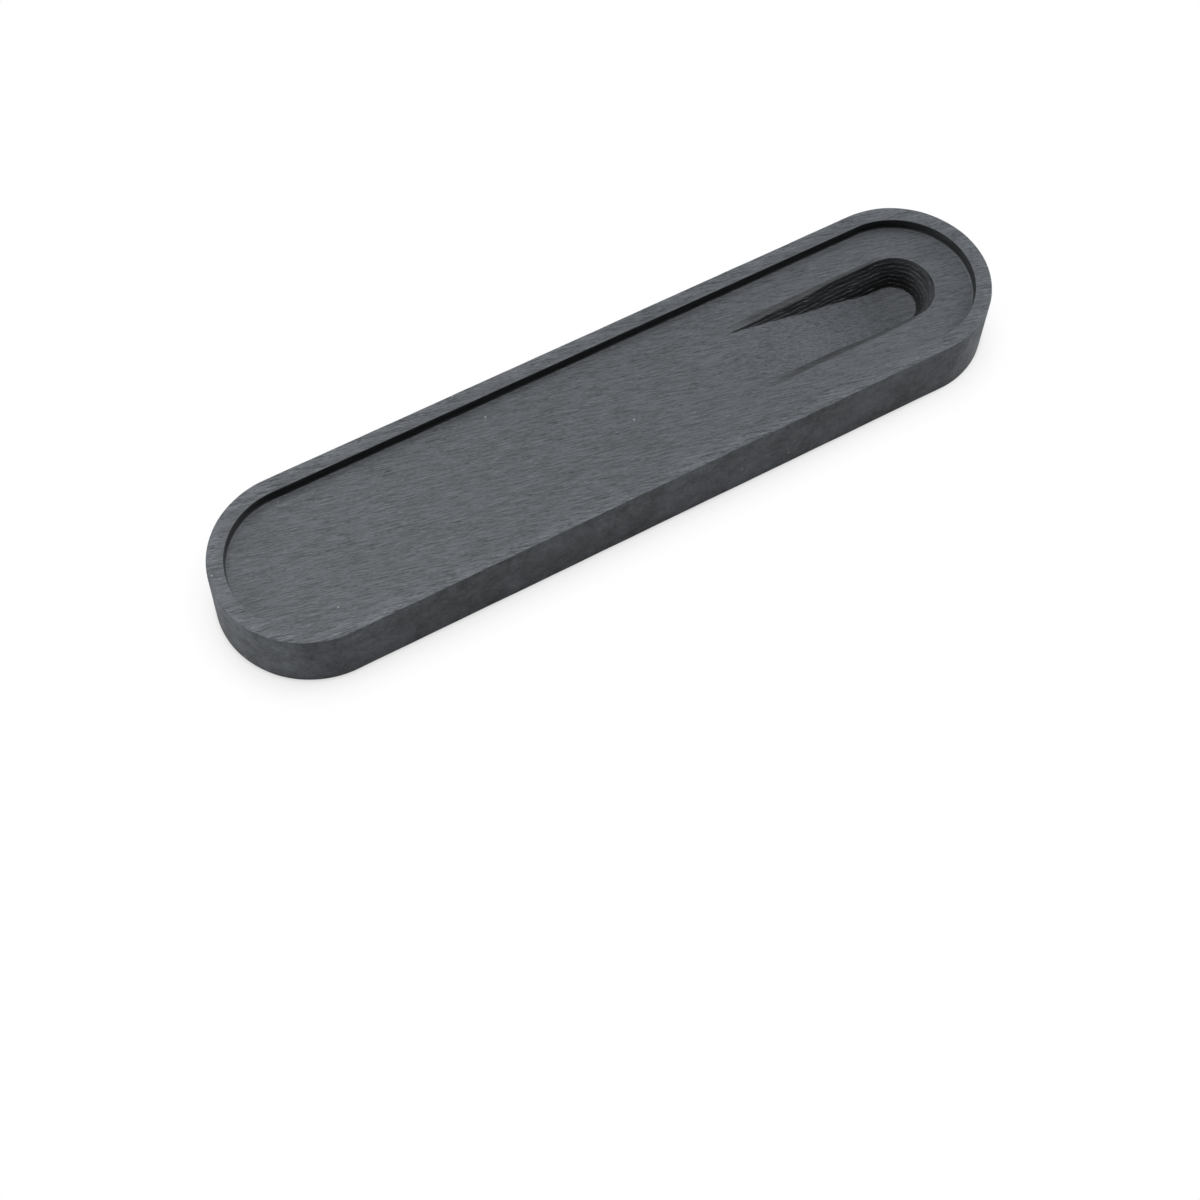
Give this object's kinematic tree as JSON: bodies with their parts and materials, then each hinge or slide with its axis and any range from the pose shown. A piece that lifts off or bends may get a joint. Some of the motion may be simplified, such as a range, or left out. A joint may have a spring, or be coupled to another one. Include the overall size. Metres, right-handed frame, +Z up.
{
  "type": "ink stone",
  "caption": "Long round-ended stone slab for grinding ink, with a low rim round a flat field that slopes down into a deep ink well at one end.",
  "frame": {"origin": "middle of the flat underside", "axes": "+X along the slab towards its ink well, +Z up out of the rubbing field"},
  "size_m": [0.18, 0.04, 0.015],
  "materials": {
    "stone": "matte"
  },
  "bodies": {
    "root": {"carved_slab": "stone"}
  },
  "joints": []
}
